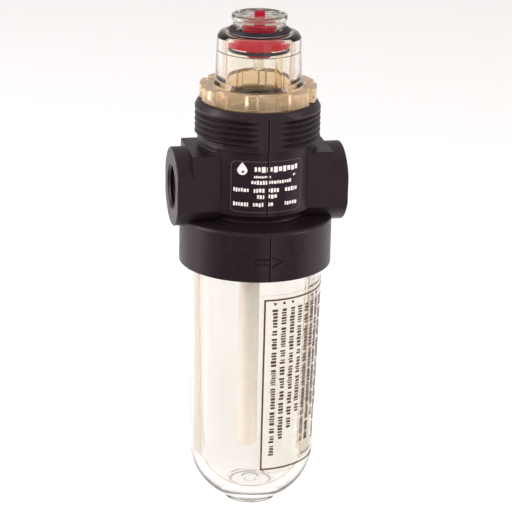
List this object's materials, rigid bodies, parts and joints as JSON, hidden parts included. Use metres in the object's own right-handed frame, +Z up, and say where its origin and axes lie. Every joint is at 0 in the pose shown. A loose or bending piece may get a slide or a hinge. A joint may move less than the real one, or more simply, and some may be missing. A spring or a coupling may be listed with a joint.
{
  "type": "air line lubricator",
  "caption": "Sight-feed lubricator for a compressed-air line: black ported body, clear oil bowl, siphon tube and clear drip dome with adjusting knob.",
  "frame": {"origin": "where the axis through the two pipe ports crosses the axis of the neck and bowl", "axes": "+Z up along the body's axis, +X from inlet to outlet along the port axis, -Y the front with the label face"},
  "size_m": [0.041, 0.0364, 0.1224],
  "materials": {
    "black_nylon": "moulded, fine satin texture",
    "bowl_clear": "clear polycarbonate, glossy",
    "dome_clear": "clear polycarbonate with a warm tint, glossy",
    "amber_clear": "clear amber polycarbonate, glossy",
    "red_acetal": "smooth red moulding",
    "natural_nylon": "translucent natural nylon, satin",
    "nitrile_rubber": "smooth black rubber",
    "sticker_film": "clear film with a brown printed border and rules",
    "brass": "machined",
    "bright_steel": "bright"
  },
  "bodies": {
    "body": {"housing": "black_nylon", "drip_well": "natural_nylon", "drip_well_seal": "nitrile_rubber", "flow_sensor_pin": "bright_steel", "siphon_adapter": "natural_nylon", "siphon_adapter_seal": "nitrile_rubber", "ball_stop": "bright_steel", "siphon_tube": "natural_nylon", "bowl_pressure_jet": "brass"},
    "bowl_thread": {"bowl_seal": "nitrile_rubber"},
    "bowl": {"bowl": "bowl_clear", "bowl_sticker": "sticker_film"},
    "dome": {"sight_dome": "dome_clear", "dome_seal": "nitrile_rubber", "knob_seal": "nitrile_rubber", "metering_block": "red_acetal", "metering_block_seal": "nitrile_rubber", "drip_nozzle": "dome_clear", "oil_riser_tube": "dome_clear"},
    "ring": {"retaining_ring": "amber_clear"},
    "knob": {"adjusting_knob": "dome_clear"},
    "screw": {"metering_screw": "red_acetal"},
    "ball": {"check_ball": "bright_steel"},
    "flap": {"flow_sensor": "natural_nylon"}
  },
  "joints": [
    {"name": "bowl_drop", "type": "slide", "parent": "body", "child": "bowl_thread", "axis": [0, 0, -1], "range_m": [0, 0.006]},
    {"name": "bowl_turn", "type": "hinge", "parent": "bowl_thread", "child": "bowl", "pos_m": [0, 0, -0.02], "axis": [0, 0, -1], "range_deg": [0, 1080]},
    {"name": "dome_lift", "type": "slide", "parent": "body", "child": "dome", "axis": [0, 0, 1], "range_m": [0, 0.0025]},
    {"name": "ring_turn", "type": "hinge", "parent": "dome", "child": "ring", "pos_m": [0, 0, 0.0225], "axis": [0, 0, 1], "range_deg": [0, 720]},
    {"name": "knob_turn", "type": "hinge", "parent": "dome", "child": "knob", "pos_m": [0, 0, 0.0395], "axis": [0, 0, 1], "range_deg": [0, 270]},
    {"name": "screw_lift", "type": "slide", "parent": "knob", "child": "screw", "axis": [0, 0, 1], "range_m": [0, 0.000375]},
    {"name": "ball_lift", "type": "slide", "parent": "body", "child": "ball", "axis": [0, 0, 1], "range_m": [0, 0.0008]},
    {"name": "flap_swing", "type": "hinge", "parent": "body", "child": "flap", "pos_m": [-0.006, 0, 0.0053], "axis": [0, -1, 0], "range_deg": [0, 50]}
  ],
  "couplings": [
    {"joint": "bowl_turn", "follows": "bowl_drop", "rad_per_m": 3141.6},
    {"joint": "ring_turn", "follows": "dome_lift", "rad_per_m": 5026.5},
    {"joint": "knob_turn", "follows": "screw_lift", "rad_per_m": 12566}
  ]
}
